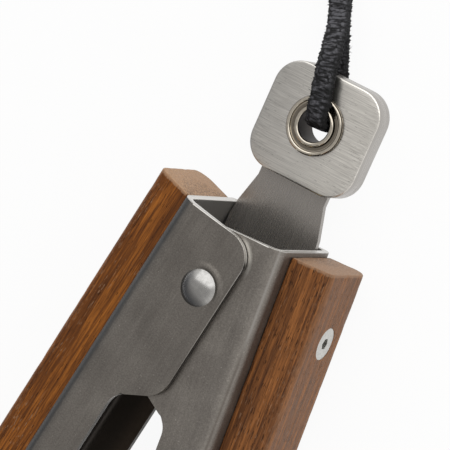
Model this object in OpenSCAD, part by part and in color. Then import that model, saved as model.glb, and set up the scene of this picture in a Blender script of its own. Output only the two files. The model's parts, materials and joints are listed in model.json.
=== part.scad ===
// Locking kitchen tongs with wooden grips, lying flat and sprung open.
// Two folded steel arms turn on one rivet. A sliding lock plate with a thick pull tab
// sits between the arm tops, and a leather thong hangs from the eyelet in the tab.
// X is across the tongs, +Y runs from the jaws towards the tab, and +Z is the rivet's axis.
// The origin is on the rivet's axis, at the flat end that the tongs rest on.

/* [Arms] */
// Thickness of the arm's sheet steel
sheet = 1.6; // [1.4:0.1:1.8]
// Depth of the arm's channel over both cheeks
channel_depth = 30.4; // [30:0.1:31]
// Distance from the rivet's axis to the outer face of the arm's back
web_out = 15.6; // [15.2:0.1:16]
// Length of the arm above the rivet
arm_top = 15.2; // [14.8:0.1:15.4]
// Length of the straight channel below the rivet
arm_reach = 312; // [300:1:330]
// Outer radius of the channel's bends
bend_r = 3.4; // [2.8:0.1:3.8]
// Width of the cheek's lobe, measured from the back's outer face
lobe_w = 22.4; // [21.5:0.1:22.8]
// Distance of the lobe's lower corner below the rivet
lobe_low = 26.1; // [25:0.1:28]
// Width of the narrow cheek below the lobe
cheek_w = 12; // [11.5:0.1:12.8]
// Angle between each arm and the middle line when open, in degrees
open_half = 6.5; // [6:0.1:6.5]

/* [Jaws] */
// Width of the jaws, from the rest plane up
jaw_w = 36.2; // [36:0.1:37]
// Outer radius of the jaw's inward curve
jaw_r = 42; // [40:1:44]
// Angle of the jaw's curve, in degrees
jaw_turn = 47; // [44:1:48]
// Depth of the jaw's side flanges
flange_w = 7; // [5:0.5:8]

/* [Grips] */
// Thickness of the wooden grip
grip_t = 11.1; // [10:0.1:12]
// Width of the wooden grip
grip_w = 22.3; // [20:0.1:24]
// Length of the wooden grip
grip_len = 196; // [180:1:210]
// Gap from the arm's upper end to the grip's end
grip_gap = 1.1; // [0.4:0.1:1.5]
// How much further the left grip's end stands out at its outer face
end_slope = 1.5; // [0:0.1:2]
// Distance of the grip's front face behind the upper cheek
grip_set = 6.6; // [6:0.1:7]
// Distance of the first grip screw below the rivet
screw_first = 3.2; // [2.5:0.1:6]
// Distance between grip screws
screw_step = 80; // [74:1:84]

/* [Lock] */
// Thickness of the lock plate
plate_t = 1.6; // [1.4:0.1:1.7]
// Width of the pull tab
tab_w = 29; // [26:0.1:30]
// Height of the pull tab
tab_h = 27.1; // [26:0.1:30]
// Corner radius of the pull tab
tab_r = 6.9; // [5:0.1:8]
// Distance from the rivet to the middle of the pull tab when the lock is in
tab_up = 41.7; // [41:0.1:45]
// Distance of the eyelet above the middle of the pull tab
eyelet_up = 0.8; // [0:0.1:1.5]
// Thickness of the tab's upper scale
scale_top_t = 2.7; // [2.2:0.1:3]
// Thickness of the tab's lower scale
scale_low_t = 2.7; // [2.2:0.1:3]
// Travel of the lock plate, from in (arms open) to out (arms held shut)
lock_travel = 14; // [12:0.5:15]
// Lean of the lock plate towards the left arm, in degrees
lock_lean = 2.75; // [2:0.05:3]
// Sideways shift of the lock plate at the rivet
lock_shift = 0.6; // [0.5:0.05:0.9]

/* [Eyelet and thong] */
// Outer diameter of the eyelet
eyelet_d = 14.4; // [13:0.1:15]
// Diameter of the eyelet's hole
eyelet_hole = 7.8; // [7:0.1:8]
// Width of the leather lace
lace_w = 4.8; // [4:0.1:5]
// Thickness of the leather lace
lace_t = 2.2; // [1.8:0.1:2.2]

/* [Rivet and spring] */
// Diameter of the rivet's shank
rivet_d = 6; // [5:0.1:6]
// Diameter of the rivet's domed head
rivet_head_d = 8.8; // [8.2:0.1:9.4]
// Height of the rivet's heads
rivet_head_h = 2; // [1.8:0.1:2]
// Diameter of the spring wire
wire_d = 1.8; // [1.4:0.1:1.8]
// Mean radius of the spring's coil
coil_r = 6.6; // [6.4:0.1:7]

/* [Hidden] */
$fn = 64;

LEFT = -1;
RIGHT = 1;
play = 0.2;            // gap between sheets that slide on each other
slack = 0.1;           // gap on either side of the lower washer
fit = 0.05;            // radial clearance of a running fit
cut = 1;               // how far a cutter runs past the face it cuts
nest = (sheet + play) / 2;     // each arm is moved this far, so that the cheeks nest
half_depth = channel_depth / 2;
mid_z = half_depth + nest + rivet_head_h;   // height of the channels' middle
web_in = web_out - sheet;

// heights of the stack on the rivet
washer_t = 1;
washer_low_z = mid_z - half_depth + nest + sheet + slack;
plate_z = washer_low_z + washer_t + slack;      // lower face of the lock plate
washer_z = plate_z + plate_t + play;
bush_z = washer_z + washer_t;
bush_top = mid_z + half_depth - nest - sheet - play;
bush_d = 9;
tab_top_z = plate_z + plate_t + scale_top_t;
tab_low_z = plate_z - scale_low_t;

// grip screws
screw_d = 4;
screw_head_d = 8;
screw_count = 3;
socket_af = 2.5;
socket_depth = 1.8;
screw_sunk = 0.1;      // depth of the screw's face below the wood
nut_af = 7;
nut_t = 3.2;
grip_mid_z = half_depth - grip_set - grip_w / 2;   // from the middle of its own channel

// The outline of the cheek turns inwards along this slope below the lobe
lobe_slope = 32.5;
taper_start = 200;     // below here the cheeks get narrower towards the jaws
cheek_end_w = 7;

// ---------- helpers ----------

// Puts a shape drawn in an arm's own axes where that arm is: x outwards, y up the arm
module on_arm(side)
    translate([0, 0, mid_z - side * nest])
        rotate([0, 0, side * open_half])
            mirror([side < 0 ? 1 : 0, 0, 0])
                children();

// Puts a shape drawn in the lock plate's own axes in its place: y along its travel
module on_lock() translate([lock_shift, 0, 0]) rotate([0, 0, lock_lean]) children();

// What rounding a square corner takes off: p is the corner, s the signs towards the inside
module corner_waste(p, s, r)
    translate(p)
        difference() {
            translate([s.x < 0 ? -r : -cut, s.y < 0 ? -r : -cut]) square(r + cut);
            translate([s.x * r, s.y * r]) circle(r);
        }

module rounded_rect(w, h, r)
    difference() {
        square([w, h], center = true);
        for (i = [-1, 1], j = [-1, 1]) corner_waste([i * w / 2, j * h / 2], [-i, -j], r);
    }

// A prism of a side outline, drawn in the arm's x and y, through the whole channel
module across(depth) linear_extrude(depth, center = true) children();

// A cylinder along the arm's x axis
module across_web(r, from, to) translate([from, 0, 0]) rotate([0, 90, 0]) cylinder(r = r, h = to - from);

// A screw's head and shank as one turned shape along x, with its face at x = 0
module countersunk(grow, shank, above)
    rotate([0, 90, 0]) rotate_extrude() {
        r = screw_d / 2 + grow;
        head_r = screw_head_d / 2 + grow;
        polygon([[0, -shank], [r, -shank], [r, r - head_r], [head_r, 0], [head_r, above], [0, above]]);
    }

module at_screws() for (i = [0:screw_count - 1])
    translate([0, -screw_first - i * screw_step, grip_mid_z]) children();

// ---------- arms ----------

// Cross-section of the channel, x outwards and y along the rivet's axis
module channel_section()
    difference() {
        translate([web_out - lobe_w - cut, -half_depth]) square([lobe_w + cut, channel_depth]);
        for (j = [-1, 1]) corner_waste([web_out, j * half_depth], [-1, -j], bend_r);
        difference() {
            translate([web_out - lobe_w - 2 * cut, -half_depth + sheet])
                square([lobe_w - sheet + 2 * cut, channel_depth - 2 * sheet]);
            for (j = [-1, 1])
                corner_waste([web_in, j * (half_depth - sheet)], [-1, -j], bend_r - sheet);
        }
    }

lobe_x = web_out - lobe_w;
cheek_x = web_out - cheek_w;
// how far the lobe's lower edge drops on its way to the narrow cheek
lobe_drop = (cheek_x - lobe_x) * tan(lobe_slope);
lobe_r = 6.5;          // radius of the lobe's two corners
inner_r = 5;           // radius where the lobe runs into the narrow cheek

// Side outline of the channel with its lobed cheeks, before their corners are rounded
module cheek_outline() {
    polygon([[web_out + cut, arm_top], [lobe_x, arm_top], [lobe_x, -lobe_low],
        [cheek_x, -lobe_low - lobe_drop], [cheek_x, -taper_start],
        [web_out - cheek_end_w, -arm_reach], [web_out + cut, -arm_reach]]);
    translate([cheek_x, -lobe_low - lobe_drop]) inner_fillet(inner_r);
}

// What rounding takes off the lobe's two corners
module lobe_waste() {
    corner_waste([lobe_x, arm_top], [1, -1], lobe_r);
    translate([lobe_x, -lobe_low]) lower_corner_waste(lobe_r);
}

// Half the turn between the cheek's straight edge and the lobe's lower edge
half_turn = (90 - lobe_slope) / 2;

// What rounding takes off the lobe's lower corner, whose edges turn by 90 - lobe_slope
module lower_corner_waste(r) {
    back = r * tan(half_turn);
    difference() {
        polygon([[-cut, back], [r, back],
            [back * cos(lobe_slope) - cut * sin(lobe_slope),
                -back * sin(lobe_slope) - cut * cos(lobe_slope)],
            [-cut, -2 * cut]]);
        translate([r, back]) circle(r);
    }
}

// The material that fills the opposite, inner corner
module inner_fillet(r) {
    back = r * tan(half_turn);
    difference() {
        polygon([[0, -back], [-back * cos(lobe_slope), back * sin(lobe_slope)],
            [0, back], [cut, back], [cut, -back]]);
        translate([-r, -back]) circle(r);
    }
}

// The jaw: a curved plate with two scalloped flanges, drawn about the curve's centre
module jaw(side) {
    plate_in = jaw_r - sheet;
    flange_in = jaw_r - flange_w;
    flange_turn = jaw_turn - 10;
    lead = 14;             // straight run of the plate above the curve
    scallops = 4;
    scallop_r = 3.2;
    tooth_r = jaw_w / 6;
    translate([web_out - jaw_r, -arm_reach, side * nest])
        intersection() {
            difference() {
                union() {
                    across(jaw_w) jaw_band(plate_in, jaw_r, jaw_turn);
                    for (j = [-1, 1]) translate([0, 0, j * (jaw_w - sheet) / 2])
                        across(sheet) jaw_band(flange_in, jaw_r - sheet / 2, flange_turn);
                    translate([plate_in, 0, -jaw_w / 2]) cube([sheet, lead, jaw_w]);
                }
                for (i = [0:scallops - 1])
                    rotate([0, 0, -(i + 0.5) * flange_turn / scallops])
                        translate([flange_in - scallop_r / 3, 0, 0])
                            cylinder(r = scallop_r, h = jaw_w + 2 * cut, center = true);
            }
            // seen along the web's normal: shoulders above, three teeth at the tip
            rotate([0, 90, 0])
                linear_extrude(2 * jaw_r) jaw_face(lead, tooth_r);
        }
}

// A ring sector that starts at the web and turns inwards
module jaw_band(r_in, r_out, turn)
    intersection() {
        difference() { circle(r_out, $fn = 128); circle(r_in, $fn = 128); }
        polygon([[0, 0], [2 * jaw_r, 0], [2 * jaw_r, -2 * jaw_r * tan(turn / 2)],
            2 * jaw_r * [cos(turn), -sin(turn)]]);
    }

// Outline of the jaw seen along the web's normal, x along the rivet's axis
module jaw_face(lead, tooth_r) {
    teeth = -jaw_r * sin(jaw_turn) + 1.2 * tooth_r;
    edge = jaw_w / 2 + cut;
    shoulder = half_depth - bend_r;
    polygon([[-edge, teeth], [edge, teeth], [edge, 0], [shoulder, lead + cut],
        [-shoulder, lead + cut], [-edge, 0]]);
    for (i = [-1:1]) translate([i * 2 * tooth_r, teeth]) circle(1.1 * tooth_r);
}

module arm(side)
    on_arm(side)
        difference() {
            union() {
                intersection() {
                    translate([0, arm_top + cut, 0]) rotate([90, 0, 0])
                        linear_extrude(arm_top + arm_reach + 2 * cut) channel_section();
                    across(channel_depth + 2 * cut) cheek_outline();
                }
                jaw(side);
            }
            across(channel_depth + 2 * cut) lobe_waste();
            cylinder(d = rivet_d + 2 * fit, h = channel_depth + 2 * cut, center = true);
            at_screws() across_web(screw_d / 2 + fit, 0, web_out + cut);
        }

module left_arm() color([0.55, 0.54, 0.52]) arm(LEFT);
module right_arm() color([0.55, 0.54, 0.52]) arm(RIGHT);

// ---------- grips ----------

module grip(side) {
    front_r = 2.2;
    back_r = 4.6;
    end_r = 3;
    front = half_depth - grip_set;
    back = front - grip_w;
    outer = web_out + grip_t;
    top = arm_top - grip_gap;
    rise = side == LEFT ? end_slope : 0;
    on_arm(side)
        difference() {
            translate([0, top + rise, 0]) rotate([90, 0, 0])
                linear_extrude(grip_len + rise) difference() {
                    translate([web_out, back]) square([grip_t, grip_w]);
                    corner_waste([outer, front], [-1, -1], front_r);
                    corner_waste([outer, back], [-1, 1], back_r);
                }
            if (rise > 0)
                across(2 * channel_depth)
                    polygon([[outer + cut, top + rise * (grip_t + cut) / grip_t],
                        [web_out - cut, top - rise * cut / grip_t],
                        [web_out - cut, top + rise + cut], [outer + cut, top + rise + cut]]);
            // the far end's rounded outer edge
            across(2 * channel_depth)
                corner_waste([outer, top - grip_len], [-1, 1], end_r);
            at_screws() translate([outer - screw_sunk, 0, 0]) countersunk(fit, grip_t + cut, cut);
        }
}

module left_grip() color([0.55, 0.32, 0.12]) grip(LEFT);
module right_grip() color([0.50, 0.30, 0.17]) grip(RIGHT);

// Countersunk screws with a hexagon socket, flush with the grip
module grip_screws(side)
    on_arm(side) at_screws() translate([web_out + grip_t - screw_sunk, 0, 0]) difference() {
        countersunk(0, grip_t + sheet + nut_t, 0);
        translate([-socket_depth, 0, 0]) rotate([0, 90, 0])
            cylinder(d = socket_af / cos(30), h = socket_depth + cut, $fn = 6);
    }

module left_grip_screws() color([0.72, 0.72, 0.72]) grip_screws(LEFT);
module right_grip_screws() color([0.72, 0.72, 0.72]) grip_screws(RIGHT);

// Nuts welded to the inner face of the arm's back
module grip_nuts(side)
    on_arm(side) at_screws() difference() {
        translate([web_in - nut_t, 0, 0]) rotate([0, 90, 0])
            cylinder(d = nut_af / cos(30), h = nut_t, $fn = 6);
        across_web(screw_d / 2 + fit, 0, web_out);
    }

module left_grip_nuts() color([0.62, 0.62, 0.62]) grip_nuts(LEFT);
module right_grip_nuts() color([0.62, 0.62, 0.62]) grip_nuts(RIGHT);

// ---------- pivot ----------

// The rivet: a flat tail head on the rest plane, a shank and a low domed head
module pivot_rivet() color([0.7, 0.7, 0.69]) {
    tail_d = 9.4;
    dome_r = (pow(rivet_head_d / 2, 2) + pow(rivet_head_h, 2)) / (2 * rivet_head_h);
    shank_top = rivet_head_h + channel_depth + 2 * nest;
    cylinder(d = tail_d, h = rivet_head_h);
    cylinder(d = rivet_d, h = shank_top + rivet_head_h / 2);
    translate([0, 0, shank_top]) rotate_extrude() intersection() {
        translate([0, rivet_head_h - dome_r]) circle(dome_r, $fn = 128);
        square([rivet_head_d, rivet_head_h]);
    }
}

// The bush turns on the rivet between the lock plate and the upper cheek
module pivot_bush() color([0.78, 0.68, 0.42]) difference() {
    translate([0, 0, bush_z]) cylinder(d = bush_d, h = bush_top - bush_z);
    cylinder(d = rivet_d + 2 * fit, h = 3 * channel_depth);
}

// A washer on each side of the slotted lock plate
module thrust_washers() color([0.75, 0.75, 0.75]) difference() {
    for (z = [washer_low_z, washer_z]) translate([0, 0, z]) cylinder(d = 16, h = washer_t);
    cylinder(d = rivet_d + 2 * fit, h = 3 * channel_depth);
}

// Wire swept along points; each ring stands across the wire's level heading
module sweep(points, section) {
    n = len(points);
    k = len(section);
    heading = [for (i = [0:n - 1]) heading_at(points, i)];
    rings = [for (i = [0:n - 1]) let (t = heading[i], w = [t.y, -t.x, 0] / norm([t.x, t.y]), u = cross(w, t))
        for (s = section) points[i] + s.x * w + s.y * u];
    sides = [for (i = [0:n - 2], j = [0:k - 1])
        [i * k + j, i * k + (j + 1) % k, (i + 1) * k + (j + 1) % k, (i + 1) * k + j]];
    ends = [[for (j = [k - 1:-1:0]) j], [for (j = [0:k - 1]) (n - 1) * k + j]];
    polyhedron(rings, concat(sides, ends));
}

// Unit direction of a path at one of its points
function heading_at(p, i) =
    let (d = p[min(i + 1, len(p) - 1)] - p[max(i - 1, 0)]) d / norm(d);

function on_circle(r, angle, z) = [r * cos(angle), r * sin(angle), z];

// Torsion spring: a leg along each arm and a coil around the bush
spring_top = bush_top - 1.2;
spring_pitch = wire_d + play;
spring_turns = 4;
leg_reach = 38;
wire_step = 20;
// where a leg ends, just inside the right arm's back
leg_in = web_in - wire_d / 2 - play / 2;
leg_end = [leg_in * cos(open_half) + leg_reach * sin(open_half),
    leg_in * sin(open_half) - leg_reach * cos(open_half)];
leg_tangent = atan2(leg_end.y, leg_end.x) + acos(coil_r / norm(leg_end));
coil_sweep = 360 * spring_turns + 180 - 2 * leg_tangent;
coil_steps = ceil(coil_sweep / wire_step);
spring_low = spring_top - spring_pitch * coil_sweep / 360;

module return_spring() color([0.35, 0.35, 0.37]) {
    coil = [for (i = [0:coil_steps]) let (s = i / coil_steps)
        on_circle(coil_r, leg_tangent + s * coil_sweep, spring_top + s * (spring_low - spring_top))];
    wire = [for (i = [0:5]) wire_d / 2 * [cos(60 * i), sin(60 * i)]];
    sweep(concat([[leg_end.x, leg_end.y, spring_top]], coil,
        [[-leg_end.x, leg_end.y, spring_low]]), wire);
}

// ---------- lock ----------

// Half of the plate's outline below the tab: half-width at each distance from the rivet
plate_low = 24;
neck_top = 31;
plate_edge = [[9.3, neck_top], [9.3, 25.8], [11.5, 18], [12, 14], [12, -plate_low]];
slot_w = rivet_d + 3;
barrel_hole = eyelet_hole + 1.6;   // hole for the eyelet's barrel

module lock_plate() color([0.5, 0.49, 0.48])
    translate([0, 0, plate_z]) on_lock() difference() {
        union() {
            translate([0, tab_up]) linear_extrude(plate_t) rounded_rect(tab_w, tab_h, tab_r);
            linear_extrude(plate_t) difference() {
                polygon(concat(plate_edge,
                    [for (i = [len(plate_edge) - 1:-1:0]) [-plate_edge[i].x, plate_edge[i].y]]));
                for (s = [-1, 1]) corner_waste([s * plate_edge[4].x, -plate_low], [-s, 1], 4);
            }
        }
        translate([0, tab_up + eyelet_up, -cut]) cylinder(d = barrel_hole, h = plate_t + 2 * cut);
        // the slot that runs on the rivet
        translate([-lock_shift, 0, -cut]) linear_extrude(plate_t + 2 * cut) slot();
    }

// A round-ended slot for the lock's travel, with some sideways play for its lean
module slot() {
    over = slot_w / 2 - 1;
    translate([0, over]) circle(d = slot_w);
    translate([0, -lock_travel - over]) circle(d = slot_w);
    translate([-slot_w / 2, -lock_travel - over]) square([slot_w, lock_travel + 2 * over]);
}

module tab_scale(z, h)
    translate([0, 0, z]) on_lock() translate([0, tab_up]) linear_extrude(h) difference() {
        rounded_rect(tab_w, tab_h, tab_r);
        translate([0, eyelet_up]) circle(d = barrel_hole);
    }

module tab_upper_scale() color([0.69, 0.68, 0.66]) tab_scale(plate_z + plate_t, scale_top_t);
module tab_lower_scale() color([0.66, 0.65, 0.63]) tab_scale(tab_low_z, scale_low_t);

// ---------- eyelet ----------

barrel_t = 0.7;
lip_d = 1.2;           // rolled inner lip
rim_d = 1.1;           // rolled outer rim
floor_t = 0.35;        // sheet between the lip and the rim
washer_rim_d = 13;
washer_rim_t = 0.5;

module at_eyelet() on_lock() translate([0, tab_up + eyelet_up]) children();

// A nickel eyelet, turned about its own axis: barrel, rolled lip, groove and rolled rim
module eyelet() color([0.75, 0.72, 0.66])
    translate([0, 0, tab_top_z]) at_eyelet() rotate_extrude() {
        hole_r = eyelet_hole / 2;
        rim_r = (eyelet_d - rim_d) / 2;
        barrel_low = tab_top_z - tab_low_z + washer_rim_t;
        translate([hole_r, -barrel_low]) square([barrel_t, barrel_low + lip_d / 2]);
        translate([hole_r + lip_d / 2, lip_d / 2]) circle(d = lip_d);
        translate([hole_r + barrel_t / 2, 0]) square([rim_r - hole_r - barrel_t / 2, floor_t]);
        translate([rim_r, rim_d / 2]) circle(d = rim_d);
    }

module eyelet_washer() color([0.72, 0.7, 0.64])
    translate([0, 0, tab_low_z - washer_rim_t]) at_eyelet() difference() {
        cylinder(d = washer_rim_d, h = washer_rim_t);
        translate([0, 0, -cut])
            cylinder(d = eyelet_hole + 2 * barrel_t + 2 * fit, h = washer_rim_t + 2 * cut);
    }

// ---------- thong ----------

// The lace runs from inside the eyelet, over the tab and down to the rest plane
upper_route = [[-0.95, 42.9, 7.1], [-0.96, 42.95, 9.5], [-1.01, 43.3, 11.6], [-1.15, 44.4, 13.1],
    [-1.55, 46.5, 13.6], [-2.35, 49.2, 13.4], [-3.45, 52.5, 13], [-4.8, 56.1, 12.2],
    [-6.25, 59.45, 10.5], [-8.05, 62.7, 8.1], [-10.15, 66.3, 5.9], [-12.65, 70.2, 4.5],
    [-16.2, 75.1, 3.8], [-20.6, 80.7, 3.5], [-26, 87, 2.8], [-31.5, 93.7, 1.7],
    [-36.6, 101, 1.2], [-39.8, 108, 1.2], [-41.2, 113.7, 1.3]];

// The other strand runs under the tab and along the rest plane
lower_route = [[-0.95, 42.9, 6.8], [-0.97, 43, 4.5], [-1.2, 43.7, 2.6], [-1.95, 45.4, 1.35],
    [-3.2, 48.4, 1.15], [-4.9, 52, 1.15], [-6.85, 55.8, 1.15], [-8.95, 60, 1.15],
    [-11.1, 64.3, 1.15], [-13.2, 68.8, 1.15], [-15.2, 74, 1.15], [-16.8, 80.2, 1.15],
    [-18.9, 86.8, 1.15], [-22.2, 94, 1.15], [-26.4, 101, 1.15], [-31.2, 108, 1.15],
    [-35.6, 114, 1.3]];

lace_section = [[lace_w / 2, -0.4], [lace_w / 2, 0.4], [lace_w * 0.4, lace_t / 2],
    [-lace_w * 0.4, lace_t / 2], [-lace_w / 2, 0.4], [-lace_w / 2, -0.4],
    [-lace_w * 0.4, -lace_t / 2], [lace_w * 0.4, -lace_t / 2]];

module thong_upper() color([0.16, 0.16, 0.17]) sweep(upper_route, lace_section);
module thong_lower() color([0.15, 0.15, 0.16]) sweep(lower_route, lace_section);

// The knot that joins the two strands, with two short tails beyond it
knot_at = [-40.6, 119];
knot_turn = 28;
knot_d = 8;
knot_len = 9;
tail_len = 12;

module thong_knot() color([0.14, 0.14, 0.15])
    translate([knot_at.x, knot_at.y, 0]) rotate([0, 0, knot_turn]) {
        translate([0, 0, knot_d / 2]) rotate([0, 90, 0]) cylinder(d = knot_d, h = knot_len, center = true);
        for (s = [-1, 1]) translate([s * 0.6 * lace_w - lace_w / 2, 2, 0.1])
            cube([lace_w, tail_len, lace_t]);
    }

// ---------- the whole object ----------

left_arm();
right_arm();
left_grip();
right_grip();
left_grip_screws();
right_grip_screws();
left_grip_nuts();
right_grip_nuts();
pivot_rivet();
pivot_bush();
thrust_washers();
return_spring();
lock_plate();
tab_upper_scale();
tab_lower_scale();
eyelet();
eyelet_washer();
thong_upper();
thong_lower();
thong_knot();
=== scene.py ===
"""Looks of the locking kitchen tongs: camera, leather thong, wooden grips, steel finishes, light."""

import json
import math
import random

import bmesh
import bpy
from mathutils import Matrix, Vector, noise

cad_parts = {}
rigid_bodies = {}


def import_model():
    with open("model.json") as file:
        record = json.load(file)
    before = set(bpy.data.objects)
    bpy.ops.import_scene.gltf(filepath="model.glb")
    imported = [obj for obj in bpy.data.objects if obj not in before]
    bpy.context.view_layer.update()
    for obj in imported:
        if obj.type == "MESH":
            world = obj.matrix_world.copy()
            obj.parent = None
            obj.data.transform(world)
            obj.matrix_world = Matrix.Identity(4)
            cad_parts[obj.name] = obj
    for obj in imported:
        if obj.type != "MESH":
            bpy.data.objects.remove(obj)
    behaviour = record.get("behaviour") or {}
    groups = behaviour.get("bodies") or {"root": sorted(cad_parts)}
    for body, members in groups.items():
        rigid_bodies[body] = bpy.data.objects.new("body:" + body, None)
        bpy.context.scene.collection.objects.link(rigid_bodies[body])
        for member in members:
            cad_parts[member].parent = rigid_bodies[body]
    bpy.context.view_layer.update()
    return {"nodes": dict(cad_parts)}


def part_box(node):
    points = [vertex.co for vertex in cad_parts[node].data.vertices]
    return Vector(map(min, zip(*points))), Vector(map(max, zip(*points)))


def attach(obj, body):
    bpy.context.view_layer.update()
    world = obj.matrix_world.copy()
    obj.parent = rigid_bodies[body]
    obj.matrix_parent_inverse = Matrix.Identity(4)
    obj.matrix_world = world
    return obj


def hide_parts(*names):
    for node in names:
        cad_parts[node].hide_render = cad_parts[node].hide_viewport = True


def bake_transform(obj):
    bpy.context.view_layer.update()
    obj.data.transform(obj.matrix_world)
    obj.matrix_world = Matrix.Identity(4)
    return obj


for thing in list(bpy.data.objects):
    bpy.data.objects.remove(thing)
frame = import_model()
nodes = frame["nodes"]

MM = 0.001
MM_IN_METRE = 1000
NOISE_SEED = 7

noise.seed_set(NOISE_SEED)           # without it, the leather's grain would change from run to run

# ---------- sizes that the scene shares with the part's source ----------

LEFT, RIGHT = -1, 1
SIDE_NAMES = {LEFT: "left", RIGHT: "right"}
OPEN_HALF = math.radians(6.5)        # between each arm and the middle line
MID_Z = 0.0181                       # height of the channels' middle
NEST = 0.0009                        # each arm is this far from it, so that the cheeks nest
CHANNEL_DEPTH = 0.0304
WEB_OUT = 0.0156
ARM_TOP = 0.0152
GRIP_T, GRIP_W, GRIP_LENGTH = 0.0111, 0.0223, 0.196
GRIP_GAP, GRIP_SET, END_SLOPE = 0.0011, 0.0066, 0.0015
SCREW_FIRST, SCREW_STEP, SCREW_COUNT = 0.0032, 0.080, 3
SCREW_HEAD_R, SCREW_R, SCREW_SUNK = 0.004, 0.002, 0.0001
LOCK_LEAN = math.radians(2.75)
LOCK_SHIFT = 0.0006
TAB_UP, EYELET_UP = 0.0417, 0.0008
TAB_W, TAB_H, TAB_R = 0.0290, 0.0271, 0.0069
EYELET_HOLE = 0.0078
LACE_W, LACE_T = 0.0048, 0.0022

# ---------- camera ----------

CAMERA_BACK = Vector((0.3761, 0.1895, 0.9070)).normalized()     # from the tongs to the camera
CAMERA_UP = Vector((-0.4782, 0.8781, 0.0149))
CAMERA_AIM = Vector((-0.0069, 0.0129, 0.0198))
CAMERA_DISTANCE = 0.7
CAMERA_LENS, CAMERA_SENSOR = 239.4, 36
CAMERA_NEAREST = 0.05                # nothing nearer than this is drawn


def add_camera():
    data = bpy.data.cameras.new("camera")
    data.sensor_width = CAMERA_SENSOR
    data.lens = CAMERA_LENS
    data.clip_start = CAMERA_NEAREST
    camera = bpy.data.objects.new("camera", data)
    right = CAMERA_UP.cross(CAMERA_BACK).normalized()
    turn = Matrix((right, CAMERA_BACK.cross(right), CAMERA_BACK)).transposed().to_4x4()
    camera.matrix_world = Matrix.Translation(CAMERA_AIM + CAMERA_DISTANCE * CAMERA_BACK) @ turn
    bpy.context.scene.collection.objects.link(camera)
    bpy.context.scene.camera = camera


add_camera()

# ---------- meshes ----------


def add_object(name, points, faces, matrix=None):
    """A new mesh object of those faces, at that place in the frame."""
    mesh = bpy.data.meshes.new(name)
    mesh.from_pydata([tuple(p) for p in points], [], faces)
    shape = bmesh.new()
    shape.from_mesh(mesh)
    bmesh.ops.recalc_face_normals(shape, faces=shape.faces)
    shape.to_mesh(mesh)
    shape.free()
    mesh.shade_smooth()
    made = bpy.data.objects.new(name, mesh)
    if matrix is not None:
        made.matrix_world = matrix
    bpy.context.scene.collection.objects.link(made)
    return made


def set_attribute(thing, name, values):
    """Stores one number for each point of a mesh, for its material to read."""
    thing.data.attributes.new(name, "FLOAT", "POINT").data.foreach_set("value", values)


def smooth_by_angle(thing, angle):
    """Smooth shading, with edges sharper than that left crisp."""
    thing.data.shade_smooth()
    thing.data.set_sharp_from_angle(angle=angle)


def tube_faces(rings, sides, start=0, closed_ends=True):
    """Faces that join rings of the same number of points, with flat ends."""
    faces = [
        (start + i * sides + j, start + i * sides + (j + 1) % sides,
         start + (i + 1) * sides + (j + 1) % sides, start + (i + 1) * sides + j)
        for i in range(rings - 1) for j in range(sides)
    ]
    if closed_ends:
        faces.append(tuple(start + j for j in reversed(range(sides))))
        faces.append(tuple(start + (rings - 1) * sides + j for j in range(sides)))
    return faces


def curve_through(points, step):
    """Points about step apart on a smooth curve through the given ones."""
    found = []
    p = [Vector(q) for q in points]
    p = [2 * p[0] - p[1]] + p + [2 * p[-1] - p[-2]]
    for a, b, c, d in zip(p, p[1:], p[2:], p[3:]):
        count = max(1, round((c - b).length / step))
        for i in range(count):
            t = i / count
            found.append(0.5 * ((2 * b) + (c - a) * t + (2 * a - 5 * b + 4 * c - d) * t * t
                                + (3 * b - a - 3 * c + d) * t ** 3))
    found.append(p[-2])
    return found


def heading(path, i):
    """From the point before to the point after, which is the path's direction there."""
    return path[min(i + 1, len(path) - 1)] - path[max(i - 1, 0)]


def circle(count):
    """Angles of that many points round a circle."""
    return [math.tau * i / count for i in range(count)]


def quarter(steps):
    """Angles from 0 to 90 degrees."""
    return [math.pi / 2 * i / steps for i in range(steps + 1)]


def metres(points):
    """The same points, from millimetres."""
    return [tuple(MM * c for c in point) for point in points]


# ---------- materials ----------


def rgb(red, green, blue):
    """A colour as screens give it, from 0 to 255, as the shader's linear one."""
    def linear(c):
        c /= 255
        return c / 12.92 if c <= 0.04045 else ((c + 0.055) / 1.055) ** 2.4
    return (linear(red), linear(green), linear(blue), 1.0)


def shaded(colour, share):
    """A darker or lighter colour."""
    return [c * share for c in colour[:3]] + [1]


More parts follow.
